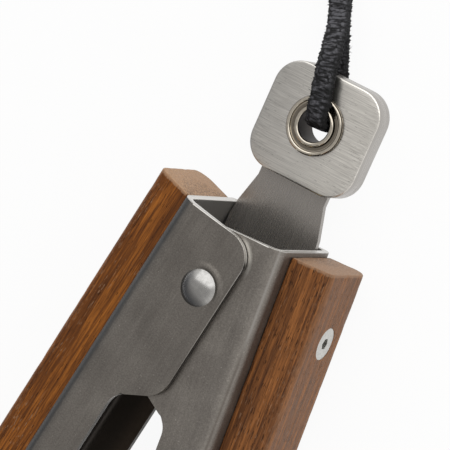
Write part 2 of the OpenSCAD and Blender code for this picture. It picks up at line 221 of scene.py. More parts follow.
class Nodes:
    """Short ways to add nodes to a shader's tree. A mask is a value from 0 to 1."""

    def __init__(self, tree):
        self.tree = tree

    def add(self, kind, inputs=None, **settings):
        """A new node, whose inputs are numbers or other nodes' outputs."""
        made = self.tree.nodes.new("ShaderNode" + kind)
        for key, value in settings.items():
            setattr(made, key, value)
        for key, value in (inputs or {}).items():
            if isinstance(value, bpy.types.NodeSocket):
                self.tree.links.new(value, made.inputs[key])
            else:
                made.inputs[key].default_value = value
        return made

    def math(self, operation, a, b=0.0):
        return self.add("Math", {0: a, 1: b}, operation=operation).outputs[0]

    def times(self, first, *others):
        for other in others:
            first = self.math("MULTIPLY", first, other)
        return first

    def either(self, *masks):
        """The highest of some masks."""
        highest, *others = masks
        for other in others:
            highest = self.math("MAXIMUM", highest, other)
        return highest

    def weighted(self, *terms):
        """Adds up values, each times its weight."""
        made = [self.math("MULTIPLY", value, weight) for value, weight in terms]
        total = made.pop()
        while made:
            total = self.math("ADD", made.pop(), total)
        return total

    def vector_math(self, operation, a, b=(0, 0, 0)):
        made = self.add("VectorMath", {0: a, 1: b}, operation=operation)
        return made.outputs["Value" if operation in ("LENGTH", "DOT_PRODUCT") else "Vector"]

    def parts(self, vector):
        return self.add("SeparateXYZ", {0: vector}).outputs

    def span(self, value, low, high, to_low=0.0, to_high=1.0, smooth=True):
        """Maps low..high to to_low..to_high, clamped."""
        return self.add("MapRange", {"Value": value, "From Min": low, "From Max": high,
                                     "To Min": to_low, "To Max": to_high},
                        interpolation_type="SMOOTHSTEP" if smooth else "LINEAR").outputs[0]

    def above(self, value, start, full):
        """A mask that rises from start to full."""
        return self.span(value, start, full)

    def below(self, value, full, end):
        """A mask that falls from full to end."""
        return self.span(value, full, end, 1, 0)

    def band(self, value, start, full, full_end, end):
        """A mask that rises from start to full, and falls again from full_end to end."""
        return self.times(self.above(value, start, full), self.below(value, full_end, end))

    def mix(self, share, a, b):
        return self.add("Mix", {0: share, 6: a, 7: b}, data_type="RGBA").outputs[2]

    def paint(self, face, colour, mask, strength):
        """Lays a colour over the face where the mask is."""
        return self.mix(self.times(mask, strength), face, colour)


class Finish(Nodes):
    """A procedural material. Its patterns are in millimetres."""

    def __init__(self, name, **constants):
        self.material = bpy.data.materials.new(name)
        self.material.use_nodes = True
        super().__init__(self.material.node_tree)
        self.shader = self.tree.nodes["Principled BSDF"]
        for socket, value in constants.items():
            self.shader.inputs[socket.replace("_", " ")].default_value = value
        self.place = self.add("TexCoord").outputs

    def drive(self, socket, value):
        self.tree.links.new(value, self.shader.inputs[socket])

    def face(self):
        """What drives the colour so far."""
        return self.shader.inputs["Base Color"].links[0].from_socket

    def facing(self, turn=0.0):
        """The parts of the surface's outward direction, on axes turned about Z."""
        way = self.place["Normal"]
        if turn:
            way = self.add("Mapping", {"Vector": way, "Rotation": (0, 0, turn)}).outputs[0]
        return self.parts(way)

    def object_space(self, scale=(1, 1, 1), turn=0.0, shift=(0, 0, 0)):
        """Places in millimetres on the object, turned about Z and then scaled."""
        turned = self.add("Mapping", {"Vector": self.place["Object"],
                                      "Rotation": (0, 0, turn), "Location": shift}).outputs[0]
        scale = [MM_IN_METRE * s for s in scale]
        return self.add("Mapping", {"Vector": turned, "Scale": scale}).outputs[0]

    def noise(self, vector, scale=1.0, detail=2.0, rough=0.5, warp=0.0):
        return self.add("TexNoise", {"Vector": vector, "Scale": scale, "Detail": detail,
                                     "Roughness": rough, "Distortion": warp}).outputs["Fac"]

    def streaks(self, scale, turn=0.0, shift=(0, 0, 0), **settings):
        """Noise with its own scale along each axis. It is stretched where the scale is low."""
        return self.noise(self.object_space(scale, turn, shift), **settings)

    def ramp(self, value, stops):
        made = self.add("ValToRGB", {"Fac": value})
        elements = made.color_ramp.elements
        while len(elements) < len(stops):
            elements.new(0.5)
        for element, (position, colour) in zip(elements, stops):
            element.position = position
            element.color = colour
        return made.outputs[0]

    def bump(self, height, depth_mm, normal=None):
        inputs = {"Height": height, "Distance": depth_mm * MM}
        if normal is not None:
            inputs["Normal"] = normal
        return self.add("Bump", inputs).outputs[0]


# Colours of the arms
ARM_TONES = ((0.36, rgb(118, 113, 108)), (0.5, rgb(137, 132, 126)), (0.64, rgb(158, 153, 146)))
# painted light and shade: the left arm's colours are made darker and the right arm's paler
ARM_PAINTED_LIGHT_AND_SHADE = {LEFT: 0.90, RIGHT: 1.05}
ARM_SPECK = rgb(206, 202, 194)
ARM_END_HIGHLIGHT = rgb(212, 210, 206)         # painted highlight on the cut edges that look up the arm
# painted light and shade inside the channel: a paler colour as painted light, and a dark brown as
# painted shade next to the hinge
INSIDE_PAINTED_LIGHT, INSIDE_PAINTED_SHADE = rgb(158, 155, 151), rgb(84, 76, 68)
# painted shade on the lower cheek's inner face: nearly black next to the back, browner towards its
# free edge
CHEEK_PAINTED_SHADE, CHEEK_PAINTED_SHADE_EDGE = rgb(48, 46, 43), rgb(136, 116, 97)
# painted reflection: a dark blue on the left arm's bend
BLUE_PAINTED_REFLECTION = rgb(80, 83, 86)
# painted shade on the left lobe's bevel, and down in the seam below its cut edge
LOBE_PAINTED_SHADE, LOBE_SEAM_SHADE = rgb(88, 84, 80), rgb(52, 48, 44)
# a bright line on the right cheek, beside the left lobe's round corner
LINE_BESIDE_LOBE = rgb(222, 219, 212)

# Zones of the arms' finish in an arm's own axes, in mm: where a mask starts and is full, and
# where it is last full and ends.
BACK_INSIDE = (14.6, 15.2)           # across the back's sheet, from its inner face
CHEEKS_INSIDE = (13.8, 14.4)         # across the cheeks' sheets, from their inner faces
LOWER_CHEEK_INSIDE = (0.5, 0.7, 1.4, 1.7)      # across the lower cheek's sheet
HINGE_SHADE_RUN = (-150, -90, -14, -4)   # along the arm, where the inside has painted shade next to the hinge
# where the lower cheek's painted shade starts along the arm, and how far out it reaches
CHEEK_SHADE_START = (-150, -120)
CHEEK_SHADE_REACH = (4.5, 9.0)
# where the painted blue reflection reaches on the outer web, and where it starts along the arm
BLUE_REFLECTION_OUT, BLUE_REFLECTION_START = (11.0, 14.5), (-200, -150)
END_HIGHLIGHT_START = (-220, -200)            # the jaws below this have no painted highlight on their edges
LOBE_REACH = (12, 13)                # the lobe's free edge is nearer the middle line than this
SEAM_HEIGHT, SEAM_START = (30.6, 31.2), (-60, -50)
LOBE_CORNER = (2.25, 8.41)           # middle of the left lobe's round corner in the right arm's axes
LINE_BESIDE_LOBE_REACH = (6.5, 6.85, 6.95, 7.9)           # distance from there
DIMPLE = (4.3, 5.1, 5.1, 6.6)        # distance from the rivet's axis
DIMPLE_HEIGHT = (31, 32)


def inside_finish_and_painted_shading(steel, side, face, spot, out):
    """The hidden side of the sheet: duller and made paler as painted light, with painted shade next to
    the hinge, and the darkest painted shade on the lower cheek's inner face, next to the back."""
    from_middle = steel.math("SUBTRACT", spot[2], (MID_Z - side * NEST) / MM)
    inside = steel.times(steel.below(out, *BACK_INSIDE),
                         steel.below(steel.math("ABSOLUTE", from_middle), *CHEEKS_INSIDE))
    # painted shade inside the channel, next to the hinge
    hinge_shade = steel.band(spot[1], *HINGE_SHADE_RUN)
    face = steel.mix(inside, face, steel.mix(hinge_shade, INSIDE_PAINTED_LIGHT, INSIDE_PAINTED_SHADE))
    steel.drive("Metallic", steel.span(inside, 0, 1, 1.0, 0.45))
    # painted shade on the lower cheek's inner face, next to the back
    from_cheek = steel.math("SUBTRACT", spot[2], (MID_Z - side * NEST - CHANNEL_DEPTH / 2) / MM)
    cheek = steel.times(steel.band(from_cheek, *LOWER_CHEEK_INSIDE),
                        steel.above(spot[1], *CHEEK_SHADE_START))
    darkening = steel.mix(steel.below(out, *CHEEK_SHADE_REACH), CHEEK_PAINTED_SHADE, CHEEK_PAINTED_SHADE_EDGE)
    return steel.mix(cheek, face, darkening)


def lobe_edges(steel, face, end, spot, out, facing):
    """The left lobe's painted light and shade: a painted highlight on its bevel where it looks up the
    arm and painted shade elsewhere, and painted shade on its cut edge down in the seam between the
    cheeks. Gives the face and the ends with their painted highlight."""
    upright = steel.math("ABSOLUTE", facing[2])
    free = steel.below(out, *LOBE_REACH)
    up_the_arm = steel.math("ADD", steel.times(facing[0], 0.2), facing[1])
    bevel = steel.times(steel.band(upright, 0.15, 0.35, 0.9, 0.98), free)
    # painted highlight on the bevel where it looks up the arm, and painted shade where it looks away
    rim_highlight = steel.times(steel.above(up_the_arm, 0.02, 0.3), bevel)
    bevel_shade = steel.times(bevel, steel.below(up_the_arm, -0.05, 0.1))
    face = steel.mix(bevel_shade, face, LOBE_PAINTED_SHADE)
    # painted shade on the cut edge, down in the seam between the cheeks
    seam = steel.times(steel.above(facing[0], 0.3, 0.5), free, steel.below(upright, 0.15, 0.35))
    deep = steel.either(steel.below(spot[2], *SEAM_HEIGHT), steel.above(up_the_arm, 0.0, 0.3))
    face = steel.mix(steel.times(seam, deep, steel.above(spot[1], *SEAM_START)), face, LOBE_SEAM_SHADE)
    # the ends' painted highlight, with the bevel's painted highlight added
    cut = steel.times(end, steel.span(upright, 0.15, 0.35, 1, 0.8))
    return face, steel.either(cut, steel.times(rim_highlight, 0.66))


def line_beside_lobe(steel, face, spot, facing):
    """A bright line on the right cheek, just beside the left lobe's round corner."""
    across, along = (steel.math("SUBTRACT", spot[axis], at) for axis, at in enumerate(LOBE_CORNER))
    reach = steel.math("SQRT", steel.math("ADD", steel.math("POWER", across, 2.0),
                                          steel.math("POWER", along, 2.0)))
    beside_lobe = steel.times(steel.band(reach, *LINE_BESIDE_LOBE_REACH),
                         steel.above(steel.math("DIVIDE", across, reach), 0.35, 0.7),
                         steel.above(steel.math("DIVIDE", along, reach), -0.4, 0.1),
                         steel.above(facing[2], 0.9, 0.98))
    return steel.paint(face, LINE_BESIDE_LOBE, beside_lobe, 0.75)


def dimple(steel, place, spot):
    """Where the sheet stands up a little on one side of the rivet, as its head was pressed."""
    flat = steel.add("Mapping", {"Vector": place, "Scale": (1, 1, 0)}).outputs[0]
    from_axis = steel.vector_math("LENGTH", flat)
    towards = steel.math("DIVIDE", steel.math("ADD", spot[1], steel.times(spot[0], 0.55)),
                         steel.math("MAXIMUM", from_axis, 1.0))
    return steel.times(steel.band(from_axis, *DIMPLE), steel.above(towards, 0.0, 1.0),
                       steel.above(spot[2], *DIMPLE_HEIGHT))


def arm_steel(side):
    """Satin sheet: fine grain, painted highlights on the ends, painted light and shade inside, and a
    worn dimple round the rivet.
    """
    steel = Finish(f"arm_steel_{SIDE_NAMES[side]}", Metallic=1.0)
    turn = -side * OPEN_HALF
    place = steel.object_space(turn=turn)
    streaks = steel.streaks((1.3, 0.06, 1.3), turn, detail=4, rough=0.65)
    grain = steel.noise(place, scale=2.6, detail=3, rough=0.8)
    clouds = steel.noise(place, scale=0.11, detail=3)
    specks = steel.above(steel.noise(place, scale=2.3, detail=1), 0.74, 0.80)
    # the arm's tones, with painted shade on the left arm and painted light on the right
    face = steel.ramp(steel.weighted((streaks, 0.2), (grain, 0.55), (clouds, 0.25)),
                      [(at, shaded(colour, ARM_PAINTED_LIGHT_AND_SHADE[side])) for at, colour in ARM_TONES])
    face = steel.paint(face, ARM_SPECK, specks, 0.5)
    spot = steel.parts(place)
    out = steel.times(spot[0], side)
    face = inside_finish_and_painted_shading(steel, side, face, spot, out)
    # the bend has a duller surface, and on the left arm a painted dark blue reflection, on the bend
    # and fainter on the outer web
    facing = steel.facing(turn)
    bend = steel.above(steel.times(facing[0], side), 0.1, 0.5)
    # painted highlight on the cut ends that look up the arm
    end = steel.above(facing[1], 0.25, 0.55)
    normal = steel.bump(steel.weighted((grain, 0.8), (streaks, 0.3)), 0.02)
    if side == LEFT:
        blue_reflection = steel.either(steel.times(steel.above(out, *BLUE_REFLECTION_OUT), 0.4), bend)
        blue_reflection = steel.times(blue_reflection, steel.above(spot[1], *BLUE_REFLECTION_START))
        face = steel.paint(face, BLUE_PAINTED_REFLECTION, blue_reflection, 0.75)
        face, end = lobe_edges(steel, face, end, spot, out, facing)
        normal = steel.bump(dimple(steel, place, spot), 0.30, normal)
    else:
        face = line_beside_lobe(steel, face, spot, facing)
    # the painted highlight stops above the jaws
    end = steel.times(end, steel.above(spot[1], *END_HIGHLIGHT_START))
    steel.drive("Base Color", steel.mix(end, face, ARM_END_HIGHLIGHT))
    satin = steel.span(steel.math("ADD", grain, streaks), 0.7, 1.3, 0.33, 0.43)
    steel.drive("Roughness", steel.math("ADD", satin, steel.times(bend, 0.14)))
    steel.drive("Normal", normal)
    return steel


def brushed_steel(name, low, high, rough, anisotropy, axis, pitch, turn=0.0, depth=0.010):
    """Brushed sheet: fine lines along the named axis, which spread its highlight across them."""
    steel = Finish(name, Metallic=1.0, Anisotropic=anisotropy)

    def stretched(fine, long):
        return (long, fine, fine) if axis == "X" else (fine, long, fine)

    lines = steel.streaks(stretched(pitch, 0.05), turn, detail=2, rough=0.7)
    hair = steel.streaks(stretched(1.6 * pitch, 0.2), turn, detail=2, rough=0.7)
    tone = steel.weighted((lines, 0.6), (hair, 0.4))
    steel.drive("Base Color", steel.ramp(tone, [(0.34, low), (0.66, high)]))
    steel.drive("Roughness", steel.span(tone, 0.3, 0.7, rough - 0.03, rough + 0.05))
    steel.drive("Normal", steel.bump(tone, depth))
    steel.drive("Tangent", steel.add("Tangent", direction_type="RADIAL", axis=axis).outputs[0])
    return steel


def plain_metal(name, colour, rough, grain=0.15):
    """Turned or plated metal with a faint, uneven finish."""
    metal = Finish(name, Metallic=1.0)
    place = metal.object_space()
    spots = metal.noise(place, scale=1.3, detail=5, rough=0.65)
    metal.drive("Base Color", metal.mix(metal.above(spots, 0.35, 0.65), colour,
                                        shaded(colour, 1 - grain)))
    metal.drive("Roughness", metal.span(spots, 0.3, 0.7, rough, rough + 0.1))
    metal.drive("Normal", metal.bump(metal.noise(place, scale=7, detail=3), 0.004))
    return metal


def wood(side, light, middle, dark, end_light, pore_share):
    """Oiled open-grained wood. The grain runs along the object's own Y."""
    timber = Finish(f"{SIDE_NAMES[side]}_wood", Specular_IOR_Level=0.22)
    shift = (side * 0.37, 0.2 * side, 0.11 * side)
    bands = timber.streaks((0.55, 0.014, 0.5), shift=shift, detail=4, rough=0.6, warp=0.7)
    streaks = timber.streaks((2.4, 0.09, 2.4), shift=shift, detail=3, rough=0.75, warp=0.3)
    face = timber.ramp(timber.weighted((bands, 0.42), (streaks, 0.58)),
                       [(0.36, dark), (0.5, middle), (0.63, light)])
    # open pores, as short dark dashes, and some that polish has filled with pale dust
    pores = timber.streaks((3.6, 0.42, 3.6), shift=shift, detail=1, rough=0.5, warp=0.2)
    pits = timber.above(pores, 0.68 - pore_share, 0.75 - pore_share)
    face = timber.paint(face, shaded(dark, 0.35), pits, 0.72)
    dust = timber.times(timber.above(timber.streaks((3.2, 0.5, 3.2), detail=2), 0.62, 0.70),
                        timber.above(timber.streaks((0.2, 0.05, 0.2), detail=1), 0.45, 0.6))
    face = timber.paint(face, end_light, dust, 0.5)
    # painted sheen: the outer side is made paler
    facing = timber.facing()
    painted_sheen = timber.span(timber.times(facing[0], side), 0.5, 0.9, 0.0, 0.22)
    face = timber.mix(painted_sheen, face, end_light)
    # the sawn end shows the pores as dots, and the worn edges are paler
    dots = timber.streaks((2.4, 2.4, 2.4), shift=shift, detail=3, rough=0.75)
    end = timber.ramp(dots, [(0.42, shaded(end_light, 0.42)), (0.56, shaded(end_light, 1.06))])
    face = timber.mix(timber.above(facing[1], 0.55, 0.9), face, end)
    wear = timber.add("Attribute", attribute_name="wear").outputs["Fac"]
    ragged = timber.streaks((1.8, 0.7, 1.8), detail=4, rough=0.7)
    worn = timber.above(timber.math("ADD", wear, timber.times(ragged, 0.9)), 0.98, 1.35)
    timber.drive("Base Color", timber.paint(face, end_light, worn, 0.7))
    timber.drive("Roughness", timber.span(streaks, 0.3, 0.7, 0.45, 0.62))
    height = timber.math("SUBTRACT", timber.times(streaks, 0.6), pits)
    timber.drive("Normal", timber.bump(height, 0.12))
    return timber


def leather_finish():
    """Black pebbled leather: painted light on the polished pebbles, painted shade in the black
    creases. The mesh says where they are.
    """
    hide = Finish("leather", Specular_IOR_Level=0.3)
    place = hide.object_space()
    mottle = hide.noise(place, scale=1.6, detail=5, rough=0.7)
    fine = hide.noise(place, scale=3.0, detail=3, rough=0.7)
    height = hide.add("Attribute", attribute_name="grain").outputs["Fac"]
    tone = hide.math("ADD", height, hide.times(hide.math("SUBTRACT", mottle, 0.5), 1.1))
    # painted light: the strands are paler further from the eyelet
    tone = hide.math("ADD", tone, hide.span(hide.parts(place)[1], 52, 74, 0.0, 0.22))
    # painted light and shade: the grain's height sets the colour, black in the creases and pale on the
    # pebbles' tops
    hide.drive("Base Color", hide.ramp(tone, [(0.12, rgb(3, 3, 4)), (0.42, rgb(22, 22, 24)),
                                              (0.78, rgb(56, 56, 60)), (1.15, rgb(92, 92, 97))]))
    hide.drive("Roughness", hide.span(tone, 0.2, 1.0, 0.7, 0.52))
    hide.drive("Normal", hide.bump(fine, 0.2))
    return hide


leather = leather_finish()

# ---------- thong ----------

# The same points as in the part's source
UPPER_ROUTE = metres([
    (-0.95, 42.9, 7.1), (-0.96, 42.95, 9.5), (-1.01, 43.3, 11.6), (-1.15, 44.4, 13.1),
    (-1.55, 46.5, 13.6), (-2.35, 49.2, 13.4), (-3.45, 52.5, 13), (-4.8, 56.1, 12.2),
    (-6.25, 59.45, 10.5), (-8.05, 62.7, 8.1), (-10.15, 66.3, 5.9), (-12.65, 70.2, 4.5),
    (-16.2, 75.1, 3.8), (-20.6, 80.7, 3.5), (-26, 87, 2.8), (-31.5, 93.7, 1.7), (-36.6, 101, 1.2),
    (-39.8, 108, 1.2), (-41.2, 113.7, 1.3),
])
LOWER_ROUTE = metres([
    (-0.95, 42.9, 6.8), (-0.97, 43, 4.5), (-1.2, 43.7, 2.6), (-1.95, 45.4, 1.35),
    (-3.2, 48.4, 1.15), (-4.9, 52, 1.15), (-6.85, 55.8, 1.15), (-8.95, 60, 1.15),
    (-11.1, 64.3, 1.15), (-13.2, 68.8, 1.15), (-15.2, 74, 1.15), (-16.8, 80.2, 1.15),
    (-18.9, 86.8, 1.15), (-22.2, 94, 1.15), (-26.4, 101, 1.15), (-31.2, 108, 1.15),
    (-35.6, 114, 1.3),
])
LACE_SIDES = 44
LACE_STEP = 0.00022
LACE_SQUARE = 0.42       # power of the lace's section: 1 is an ellipse, and 0 a rectangle
LACE_SWAY, SWAY_LENGTH = 0.00012, 0.004
PEBBLE_LENGTH, PEBBLE_WIDTH, PEBBLE_DEPTH = 0.00105, 0.0019, 0.00022
PEBBLE_LEVEL = 0.6       # height of the grain where the lace has its plain section
PEBBLE_WARP = 0.45
CREASE_STEEPNESS = 4.5
EDGE_GRAIN, FIBRE_GRAIN = 0.3, 0.5             # how pale the cut edges and the fibres are
RAGGED_DEPTH, RAGGED_LENGTH, RAGGED_HEIGHT = 0.0011, 0.0005, 0.0009

FIBRE_SHARE = 0.8        # how many of the lace's rings have a loose fibre
FIBRE_ROOT = 0.96        # where it starts, as a share of half the width
FIBRE_LENGTH, FIBRE_WIDTH, FIBRE_DEPTH = (0.0003, 0.0009), (0.00008, 0.00016), 0.00004
LONG_FIBRE_SHARE, LONG_FIBRE = 0.12, 1.6
FIBRE_SLANT, FIBRE_RISE = 1.1, 0.5

KNOT_AT = Vector((-0.0406, 0.1190, 0.0040))
KNOT_TURN = math.radians(28)
KNOT_STEP = 0.0004
KNOT_BENDS = 24          # points on the knot's closed curve
KNOT_HALF = (0.0011, 0.00115, 0.0012)
KNOT_LUMPS, LUMP_SIZE = 0.10, 700


def lace_section():
    """Points round the lace's flat section, with its rounded edges."""
    def squared(c):
        return math.copysign(abs(c) ** LACE_SQUARE, c)

    return [(squared(math.cos(a)) * LACE_W / 2, squared(math.sin(a)) * LACE_T / 2)
            for a in circle(LACE_SIDES)]


def level_widths(centre):
    """A level width direction for each point of the centreline, steady where it stands upright."""
    level_share = 0.35   # a steeper line keeps the direction of the point after it
    widths = []
    last = None
    for i in range(len(centre) - 1, -1, -1):
        along = heading(centre, i)
        level = Vector((along.y, -along.x, 0))
        if level.length > level_share * along.length or last is None:
            last = level.normalized()
        widths.append(last)
    return widths[::-1]


def pebbles(s, x, seed):
    """Height of the leather's grain, from 0 to 1, at s along and x across, in metres."""
    spot = Vector((s / PEBBLE_LENGTH, x / PEBBLE_WIDTH, seed))
    distances, _ = noise.voronoi(spot + PEBBLE_WARP * noise.noise_vector(spot * 0.8))
    ridge = min(1.0, (distances[1] - distances[0]) * CREASE_STEEPNESS)
    return 0.85 * ridge + 0.15 * noise.noise(1.7 * spot)


def leather_piece(name, points, faces, grain, matrix=None):
    made = add_object(name, points, faces, matrix)
    set_attribute(made, "grain", grain)
    made.data.materials.append(leather.material)
    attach(made, "lock")
    return made


def lace(name, route, seed):
    """One strand of the thong: a flat strip with pebbled faces and fuzzy cut edges."""
    dice = random.Random(seed)
    centre = curve_through(route, LACE_STEP)
    section = lace_section()
    points, grain, fibre_points, fibre_faces = [], [], [], []
    s = 0.0
    for i, (c, w) in enumerate(zip(centre, level_widths(centre))):
        along = heading(centre, i).normalized()
        s += (c - centre[i - 1]).length if i else 0.0
        w = (w - w.dot(along) * along).normalized()
        up = w.cross(along)
        sway = LACE_SWAY * noise.noise(Vector((s / SWAY_LENGTH, 0, seed)))
        for x, y in section:
            flat = max(0.0, 1 - (abs(x) / (LACE_W / 2)) ** 6)
            side = 1 if y > 0 else -1
            height = pebbles(s, x, seed + 3 * side)
            grain.append(height * flat + EDGE_GRAIN * (1 - flat))
            lift = PEBBLE_DEPTH * (height - PEBBLE_LEVEL) * flat
            rough = noise.noise(Vector((s / RAGGED_LENGTH, y / RAGGED_HEIGHT, seed + side)))
            ragged = RAGGED_DEPTH * rough * (1 - flat)
            points.append(c + w * (x + sway + math.copysign(ragged, x)) + up * (y + side * lift))
        if dice.random() < FIBRE_SHARE:
            add_fibre(fibre_points, fibre_faces, c, w, up, along, dice)
    faces = tube_faces(len(centre), LACE_SIDES)
    faces += [tuple(len(points) + k for k in f) for f in fibre_faces]
    grain += [FIBRE_GRAIN] * len(fibre_points)
    return leather_piece(name, points + fibre_points, faces, grain), centre


def add_fibre(points, faces, c, w, up, along, dice):
    """Adds one loose fibre on an edge of the lace, as a thin spike."""
    side = dice.choice((-1, 1))
    root = c + w * side * LACE_W / 2 * FIBRE_ROOT + up * dice.uniform(-0.4, 0.4) * LACE_T
    reach = dice.uniform(*FIBRE_LENGTH) * (LONG_FIBRE if dice.random() < LONG_FIBRE_SHARE else 1)
    way = (w * side + along * dice.uniform(-FIBRE_SLANT, FIBRE_SLANT)
           + up * dice.uniform(-FIBRE_RISE, FIBRE_RISE)).normalized()
    across = way.cross(up).normalized() * dice.uniform(*FIBRE_WIDTH)
    deep = way.cross(across).normalized() * FIBRE_DEPTH
    first = len(points)
    points += [root - across, root + across, root + deep, root + way * reach]
    faces += [(first, first + 1, first + 3), (first + 1, first + 2, first + 3),
              (first + 2, first, first + 3), (first + 2, first + 1, first)]


def knot_routes():
    """The knot's closed curve, a trefoil pulled tight, and then its tails and the strands' ends."""
    wide, tall, thick = KNOT_HALF
    turns = []
    for i in range(KNOT_BENDS + 1):
        a = math.tau * i / KNOT_BENDS
        turns.append(Vector((wide * (math.sin(a) + 2 * math.sin(2 * a)),
                             tall * (math.cos(a) - 2 * math.cos(2 * a)),
                             -thick * math.sin(3 * a))))
    routes = [(turns, 1)]
    for s, lean in ((-1, -0.14), (1, 0.2)):
        tail = [(s * 0.0016, 0.0002, -0.0002), (s * 0.0022, 0.0030, -0.0014),
                (s * 0.0026 + lean * 0.004, 0.0070, -0.0024),
                (s * 0.0026 + lean * 0.009, 0.0115, -0.0024)]
        strand = [(s * 0.0016, 0.0002, 0.0), (s * 0.0017, -0.0022, -0.0012),
                  (s * 0.0021, -0.0044, -0.0021)]
        routes += [(tail, 2 + s), (strand, 5 + s)]
    return routes


def knot():
    """An overhand knot of the same lace, with its two cut tails."""
    points, faces, grain = [], [], []
    section = lace_section()
    for route, seed in knot_routes():
        centre = curve_through(route, KNOT_STEP)
        faces += tube_faces(len(centre), LACE_SIDES, len(points))
        normal = Vector((0, 0, 1))
        for i, c in enumerate(centre):
            along = heading(centre, i).normalized()
            normal = (normal - normal.dot(along) * along).normalized()
            w = along.cross(normal)
            for x, y in section:
                lump = noise.noise(Vector((x, y, 0)) * LUMP_SIZE + Vector((i * 0.35, seed, 0)))
                lift = 1 + KNOT_LUMPS * lump
                points.append(c + w * x * lift + normal * y * lift)
                grain.append(0.5 + 4 * (lift - 1))
    return leather_piece("knot", points, faces, grain,
                         Matrix.Translation(KNOT_AT) @ Matrix.Rotation(KNOT_TURN, 4, "Z"))


upper_strand, upper_line = lace("thong_upper_strand", UPPER_ROUTE, 11)
lower_strand, lower_line = lace("thong_lower_strand", LOWER_ROUTE, 23)
thong_knot = knot()
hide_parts("thong_upper")
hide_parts("thong_lower")
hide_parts("thong_knot")

# ---------- wooden grips ----------

GRIP_ROW, GRIP_ROW_FAR = 0.0006, 0.0025        # between rows of the mesh, near the hinge and below
GRIP_ROWS_CHANGE = -0.03
GRIP_LOW_RUN = 0.0031    # length of the lower end's rounding
GRIP_SECTION_STEP = 0.0009
GRIP_FRONT_R, GRIP_BACK_R, GRIP_INNER_R = 0.0022, 0.0046, 0.0004
GRIP_TOP_R, GRIP_LOW_R = 0.00035, 0.003
TOP_STEPS, LOW_STEPS = 4, 6
LOW_WEAR = (0.2, 0.8)    # on the first and second half of the lower end
TOP_WEAR_REACH, CORNER_WEAR_REACH = 0.0016, 0.0008
CHIP_DEPTH, CHIP_LEAST, CORNER_CHIPS = 0.00045, 0.05, 0.35
CHIP_SCALE, WAVE_SCALE = (420, 260), (60, 14)  # across and along the grain, for each metre
WAVE_DEPTH = 0.00005
CORNER_WEAR = 0.55
INNER_EDGE, INNER_EDGE_WEAR = 0.002, 0.35      # the edges on the steel are worn less
SLOPE_RUN = 0.008        # the end's slope fades out over this length
GRIP_CRISP = math.radians(40)
HOLE_SIDES = 48
HOLE_PLAY, HOLE_PAST = 0.00006, 0.002          # round the screw, and past the wood's faces


def rounded_section(low_x, high_x, low_z, high_z, radii):
    """Points round a box section, from its lower left corner. radii go round with it.
    Each point comes with its outward direction and how near a corner it is, from 0 to 1."""
    corners = [(low_x, low_z, 1, 1, math.pi), (high_x, low_z, -1, 1, 1.5 * math.pi),
               (high_x, high_z, -1, -1, 0.0), (low_x, high_z, 1, -1, 0.5 * math.pi)]
    arcs = []
    for (x, z, sx, sz, start), r in zip(corners, radii):
        count = min(9, max(3, round(r * math.pi / 2 / (0.35 * GRIP_SECTION_STEP))))
        arcs.append([(x + sx * r + r * math.cos(start + a), z + sz * r + r * math.sin(start + a),
                      math.cos(start + a), math.sin(start + a), 1.0) for a in quarter(count)])
    made = []
    for k, arc in enumerate(arcs):
        made += arc
        a = corners[k][4] + math.pi / 2
        first, last = Vector(arc[-1][:2]), Vector(arcs[(k + 1) % 4][0][:2])
        run = (last - first).length
        between = max(1, round(run / GRIP_SECTION_STEP))
        for i in range(1, between):
            p = first.lerp(last, i / between)
            near = min(i, between - i) / between * run
            made.append((p.x, p.y, math.cos(a), math.sin(a), max(0.0, 1 - near / CORNER_WEAR_REACH)))
    return made


def arm_place(side):
    """Where an arm's own axes are: Y up the arm, and X to the right."""
    return (Matrix.Translation((0, 0, MID_Z - side * NEST))
            @ Matrix.Rotation(side * OPEN_HALF, 4, "Z"))


def screw_hole(side, i):
    """A countersunk hole to cut out of a grip."""
    outer = WEB_OUT + GRIP_T - SCREW_SUNK
    z = CHANNEL_DEPTH / 2 - GRIP_SET - GRIP_W / 2
    profile = [(outer + HOLE_PAST, SCREW_HEAD_R + HOLE_PLAY), (outer, SCREW_HEAD_R + HOLE_PLAY),
               (outer - SCREW_HEAD_R + SCREW_R, SCREW_R + HOLE_PLAY),
               (WEB_OUT - HOLE_PAST, SCREW_R + HOLE_PLAY)]
    y = -SCREW_FIRST - i * SCREW_STEP
    points = [(side * x, y + r * math.cos(a), z + r * math.sin(a))
              for x, r in profile for a in circle(HOLE_SIDES)]
    return points, tube_faces(len(profile), HOLE_SIDES)


def cut_out(thing, holes):
    """Cuts holes out of a mesh object in its own axes, and leaves no modifier on it."""
    for points, faces in holes:
        cut = thing.modifiers.new("cut", "BOOLEAN")
        cut.object = add_object("cutter", points, faces, thing.matrix_world.copy())
        cut.solver = "EXACT"
    bpy.context.view_layer.update()
    mesh = bpy.data.meshes.new_from_object(thing.evaluated_get(bpy.context.evaluated_depsgraph_get()))
    for cut in thing.modifiers:
        bpy.data.objects.remove(cut.object)
    thing.modifiers.clear()
    thing.data = mesh


def grip_rows(top):
    """Rows of points down a grip: the place along it, how far the row is drawn in, and its wear."""
    rows = [(top - GRIP_TOP_R + GRIP_TOP_R * math.sin(a), GRIP_TOP_R * (1 - math.cos(a)), 1.0)
            for a in reversed(quarter(TOP_STEPS))]
    y = top - GRIP_TOP_R
    while y > top - GRIP_LENGTH + GRIP_LOW_RUN:
        y -= GRIP_ROW if y > GRIP_ROWS_CHANGE else GRIP_ROW_FAR
        rows.append((y, 0.0, max(0.0, 1 - (top - y) / TOP_WEAR_REACH)))
    for i, a in enumerate(quarter(LOW_STEPS)[1:], 1):
        rows.append((y - GRIP_LOW_R * 0.95 * math.sin(a), GRIP_LOW_R * 0.5 * (1 - math.cos(a)),
                     LOW_WEAR[i > LOW_STEPS / 2]))
    return rows


